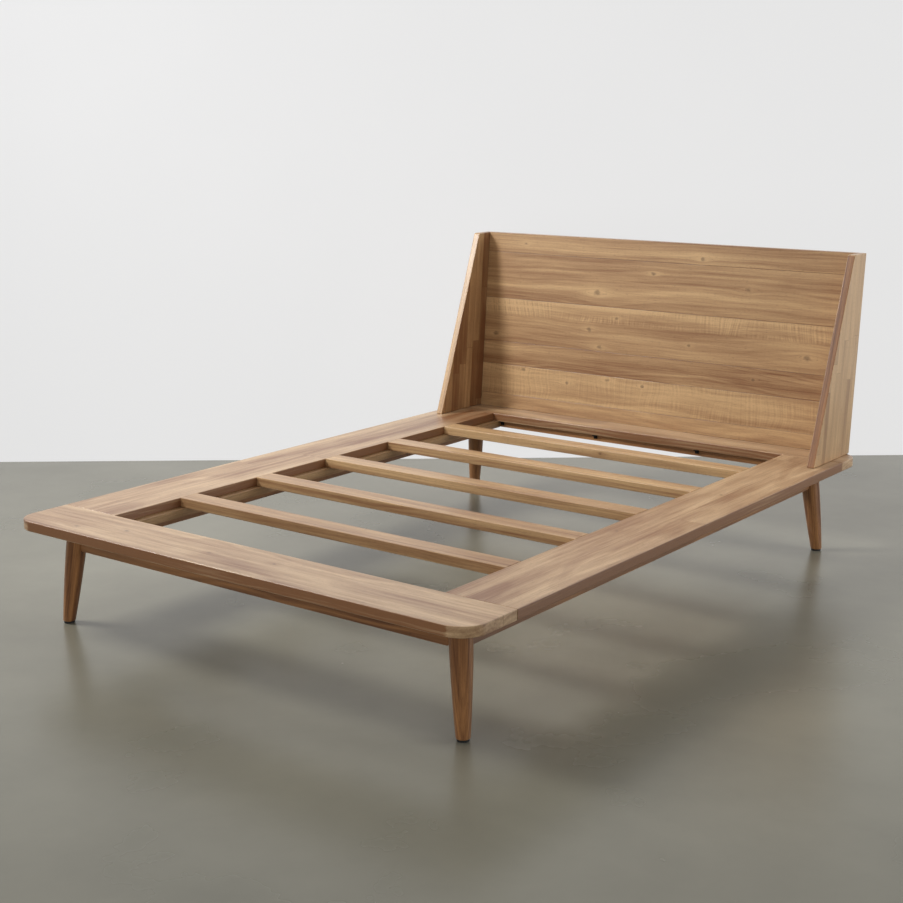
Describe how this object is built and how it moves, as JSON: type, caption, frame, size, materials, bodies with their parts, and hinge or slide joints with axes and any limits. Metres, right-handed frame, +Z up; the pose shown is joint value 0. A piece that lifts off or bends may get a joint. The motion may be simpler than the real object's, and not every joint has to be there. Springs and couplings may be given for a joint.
{
  "type": "wooden platform bed frame",
  "caption": "Wooden platform bed with round splayed legs, cross slats, a leaning plank headboard and tapered side wings.",
  "frame": {"origin": "on the floor, under the middle of the whole bed's length and width", "axes": "+Y along the bed from the foot end to the head end, +Z up, +X to the right of someone who stands at the foot and looks at the headboard"},
  "size_m": [1.56, 2.1852, 0.956],
  "materials": {
    "deck_wood": "oiled, satin, pale honey with straight grain",
    "slat_wood": "oiled, satin",
    "apron_wood": "oiled, satin, mid brown",
    "leg_wood": "oiled, satin, dark brown with long streaks",
    "panel_wood": "oiled, satin, mixed planks with knots",
    "wing_wood": "oiled, satin, edge-glued staves",
    "block_wood": "sawn, unfinished",
    "angle_steel": "black, satin",
    "glide_rubber": "matt black"
  },
  "bodies": {
    "root": {"apron_foot": "apron_wood", "apron_head": "apron_wood", "apron_left": "apron_wood", "apron_right": "apron_wood", "corner_block_foot_left": "block_wood", "corner_block_foot_right": "block_wood", "corner_block_head_left": "block_wood", "corner_block_head_right": "block_wood", "deck_board_foot": "deck_wood", "deck_board_head": "deck_wood", "deck_board_left": "deck_wood", "deck_board_right": "deck_wood", "glide_foot_left": "glide_rubber", "glide_foot_right": "glide_rubber", "glide_head_left": "glide_rubber", "glide_head_right": "glide_rubber", "head_bracket_1": "angle_steel", "head_bracket_2": "angle_steel", "head_bracket_3": "angle_steel", "headboard_plank_1": "panel_wood", "headboard_plank_2": "panel_wood", "headboard_plank_3": "panel_wood", "headboard_plank_4": "panel_wood", "headboard_plank_5": "panel_wood", "headboard_plank_6": "panel_wood", "headboard_wing_left": "wing_wood", "headboard_wing_right": "wing_wood", "leg_foot_left": "leg_wood", "leg_foot_right": "leg_wood", "leg_head_left": "leg_wood", "leg_head_right": "leg_wood", "slat_1": "slat_wood", "slat_2": "slat_wood", "slat_3": "slat_wood", "slat_4": "slat_wood", "slat_5": "slat_wood", "slat_ledger_left": "apron_wood", "slat_ledger_right": "apron_wood"}
  },
  "joints": []
}
